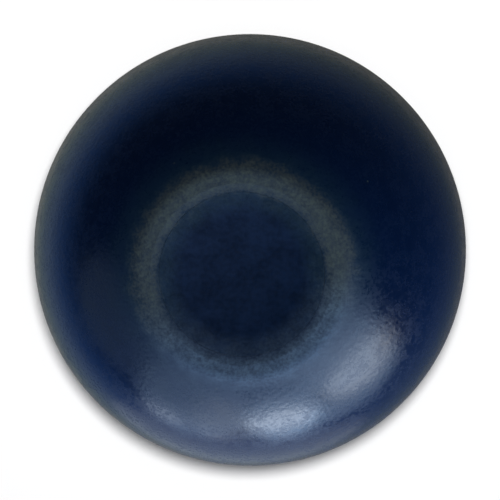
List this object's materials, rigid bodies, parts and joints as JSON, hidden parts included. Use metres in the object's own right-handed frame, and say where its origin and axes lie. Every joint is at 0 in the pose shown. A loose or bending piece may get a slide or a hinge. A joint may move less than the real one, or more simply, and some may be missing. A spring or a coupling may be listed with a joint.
{
  "type": "lawn bowl",
  "caption": "Biased outdoor bowl: a flattened round shell with a raised resting ring and a dished blank disc on each side.",
  "frame": {"origin": "centre of the flat land of the large ring, which is the face the bowl lies on", "axes": "+Z along the bowl's own axis, from the large-ring side up to the small-ring side; X and Y are equal, because the bowl is a body of revolution"},
  "size_m": [0.1222, 0.1222, 0.1013],
  "materials": {
    "shell": "satin navy moulding, worn to khaki grey on the rings",
    "disc": "satin navy, a little darker and mottled",
    "core": "unfinished dense grey filled composite",
    "cement": "set amber adhesive"
  },
  "bodies": {
    "root": {"core": "core", "small_ring_shell": "shell", "large_ring_shell": "shell", "small_disc_cement": "cement", "large_disc_cement": "cement", "small_disc": "disc", "large_disc": "disc"}
  },
  "joints": []
}
